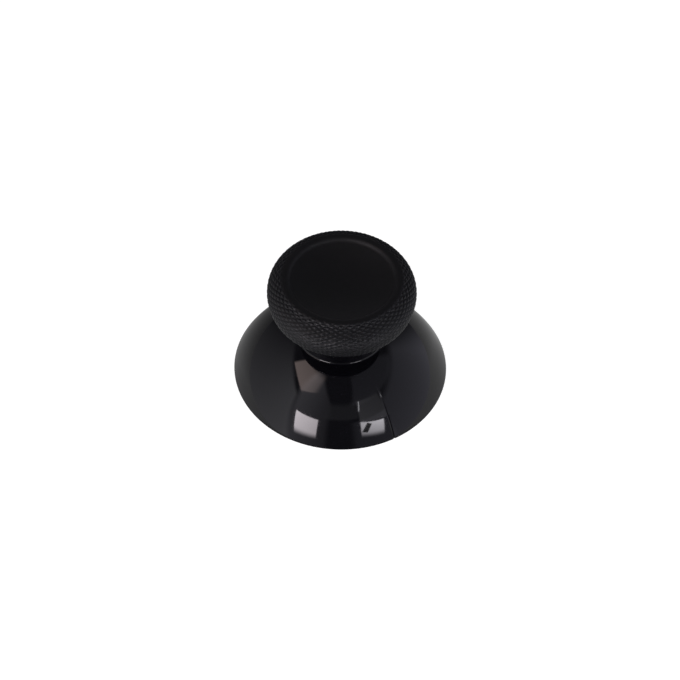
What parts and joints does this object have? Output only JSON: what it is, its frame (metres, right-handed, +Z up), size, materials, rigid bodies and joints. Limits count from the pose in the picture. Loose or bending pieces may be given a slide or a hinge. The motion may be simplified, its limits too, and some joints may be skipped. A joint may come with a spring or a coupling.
{
  "type": "thumbstick cap",
  "caption": "Mushroom-shaped thumbstick cap: polished domed skirt and neck under a round head with a diamond-knurled soft grip and a dished top.",
  "frame": {"origin": "on the axis, in the plane of the skirt's rim", "axes": "+Z up along the axis, from the rim to the dished top; the socket's flats face +Y and -Y"},
  "size_m": [0.023, 0.023, 0.0144],
  "materials": {
    "skirt_gloss": "polished black plastic with a cool tint",
    "grip_rubber": "matt black soft-touch rubber, knurled round the side, fine grain on top"
  },
  "bodies": {
    "root": {"skirt_stem": "skirt_gloss", "grip_cap": "grip_rubber"}
  },
  "joints": []
}
